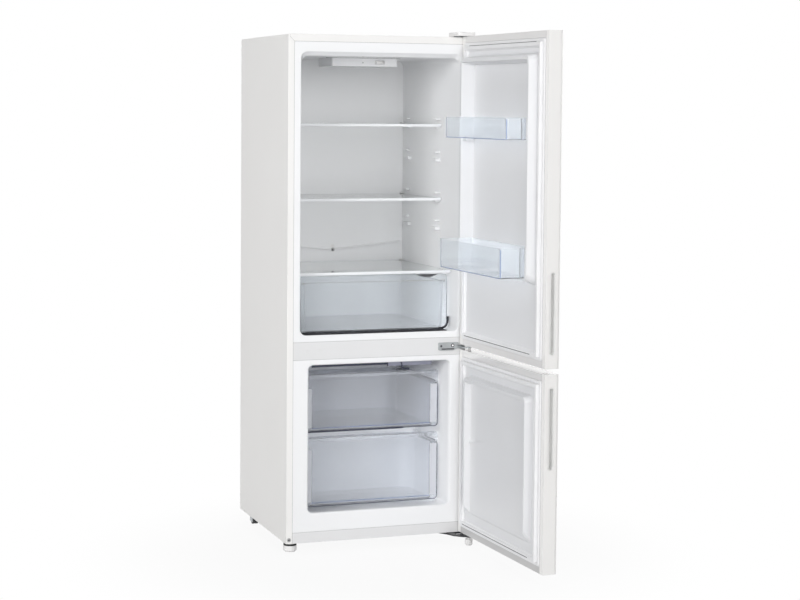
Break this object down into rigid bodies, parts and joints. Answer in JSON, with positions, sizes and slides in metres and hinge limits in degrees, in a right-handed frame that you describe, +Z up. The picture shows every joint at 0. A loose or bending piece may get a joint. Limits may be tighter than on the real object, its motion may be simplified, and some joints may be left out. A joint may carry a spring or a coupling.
{
  "type": "bottom freezer refrigerator",
  "caption": "White freestanding refrigerator over a bottom freezer with right-hinged swing doors, glass shelves, crisper, freezer drawers and door bins.",
  "frame": {"origin": "middle of the bounding box with both doors open as in the picture, on the floor under the feet", "axes": "+Z up, -Y out of the cabinet's front, +X towards the hinge side"},
  "size_m": [0.5758, 1.0508, 1.4634],
  "materials": {
    "painted_white": "gloss enamel",
    "liner_white": "satin",
    "rail_grey": "satin",
    "foam": "matte",
    "zinc_steel": "zinc coated",
    "hinge_steel": "satin",
    "black_steel": "satin",
    "copper_tube": "satin",
    "aluminium_plate": "satin",
    "seal_rubber": "matte",
    "black_rubber": "matte",
    "black_plastic": "satin",
    "grey_plastic": "satin",
    "clear_tray": "clear blue-grey",
    "clear_drawer": "clear blue-grey",
    "shelf_glass": "clear",
    "shelf_trim": "satin",
    "lamp_lens_plastic": "frosted"
  },
  "bodies": {
    "cabinet": {"back_panel": "zinc_steel", "base_pan": "zinc_steel", "bottom_hinge": "black_steel", "compressor": "black_steel", "compressor_mount_1": "black_rubber", "compressor_mount_2": "black_rubber", "compressor_mount_3": "black_rubber", "compressor_mount_4": "black_rubber", "condenser_coil": "copper_tube", "control_box": "liner_white", "crisper_cover_glass": "shelf_glass", "crisper_cover_trim": "shelf_trim", "discharge_pipe": "copper_tube", "drain_tube": "grey_plastic", "evaporation_pan": "black_plastic", "freezer_evaporator": "aluminium_plate", "freezer_liner": "liner_white", "fridge_evaporator": "aluminium_plate", "fridge_liner": "liner_white", "insulation_foam": "foam", "kick_strip": "rail_grey", "lamp_lens": "lamp_lens_plastic", "left_side_panel": "painted_white", "lower_shelf_glass": "shelf_glass", "lower_shelf_trim": "shelf_trim", "machine_tray": "zinc_steel", "middle_hinge": "hinge_steel", "middle_rail": "rail_grey", "right_side_panel": "painted_white", "suction_pipe": "copper_tube", "terminal_box": "black_plastic", "top_hinge": "hinge_steel", "top_hinge_cover": "grey_plastic", "top_panel": "painted_white", "upper_shelf_glass": "shelf_glass", "upper_shelf_trim": "shelf_trim"},
    "upper_door": {"upper_door_panel": "painted_white", "upper_door_top_cap": "painted_white", "upper_door_bottom_cap": "painted_white", "upper_door_foam": "foam", "upper_door_liner": "liner_white", "upper_door_seal": "seal_rubber", "upper_door_grip": "painted_white"},
    "lower_door": {"lower_door_panel": "painted_white", "lower_door_top_cap": "painted_white", "lower_door_bottom_cap": "painted_white", "lower_door_foam": "foam", "lower_door_liner": "liner_white", "lower_door_seal": "seal_rubber", "lower_door_grip": "painted_white"},
    "crisper": {"crisper_drawer": "clear_tray"},
    "upper_drawer": {"upper_freezer_drawer": "clear_drawer"},
    "lower_drawer": {"lower_freezer_drawer": "clear_drawer"},
    "thermostat": {"thermostat_knob": "grey_plastic"},
    "upper_bin": {"upper_door_bin": "clear_tray"},
    "lower_bin": {"lower_door_bin": "clear_tray"},
    "left_levelling_foot": {"left_foot": "grey_plastic"},
    "right_levelling_foot": {"right_foot": "grey_plastic"},
    "left_roller": {"left_rear_roller": "black_plastic"},
    "right_roller": {"right_rear_roller": "black_plastic"}
  },
  "joints": [
    {"name": "upper_door_hinge", "type": "hinge", "parent": "cabinet", "child": "upper_door", "pos_m": [0.24063, 0.00343, 1], "axis": [0, 0, 1], "range_deg": [-92, 10]},
    {"name": "lower_door_hinge", "type": "hinge", "parent": "cabinet", "child": "lower_door", "pos_m": [0.24063, 0.00343, 0.3], "axis": [0, 0, 1], "range_deg": [-92, 10]},
    {"name": "crisper_slide", "type": "slide", "parent": "cabinet", "child": "crisper", "axis": [0, -1, 0], "range_m": [0, 0.22]},
    {"name": "upper_drawer_slide", "type": "slide", "parent": "cabinet", "child": "upper_drawer", "axis": [0, -1, 0], "range_m": [0, 0.22]},
    {"name": "lower_drawer_slide", "type": "slide", "parent": "cabinet", "child": "lower_drawer", "axis": [0, -1, 0], "range_m": [0, 0.12]},
    {"name": "thermostat_turn", "type": "hinge", "parent": "cabinet", "child": "thermostat", "pos_m": [0.03193, 0.20393, 1.376], "axis": [0, 0, -1], "range_deg": [-140, 140]},
    {"name": "upper_bin_lift", "type": "slide", "parent": "upper_door", "child": "upper_bin", "axis": [0, 0, 1], "range_m": [0, 0.02]},
    {"name": "lower_bin_lift", "type": "slide", "parent": "upper_door", "child": "lower_bin", "axis": [0, 0, 1], "range_m": [0, 0.02]},
    {"name": "left_foot_turn", "type": "hinge", "parent": "cabinet", "child": "left_levelling_foot", "pos_m": [-0.26407, 0.07243, 0.01], "axis": [0, 0, 1], "continuous": true},
    {"name": "right_foot_turn", "type": "hinge", "parent": "cabinet", "child": "right_levelling_foot", "pos_m": [0.24343, -0.01557, 0.01], "axis": [0, 0, 1], "continuous": true},
    {"name": "left_roller_spin", "type": "hinge", "parent": "cabinet", "child": "left_roller", "pos_m": [-0.26607, 0.43943, 0.014], "axis": [1, 0, 0], "continuous": true},
    {"name": "right_roller_spin", "type": "hinge", "parent": "cabinet", "child": "right_roller", "pos_m": [0.23993, 0.43943, 0.014], "axis": [1, 0, 0], "continuous": true}
  ]
}
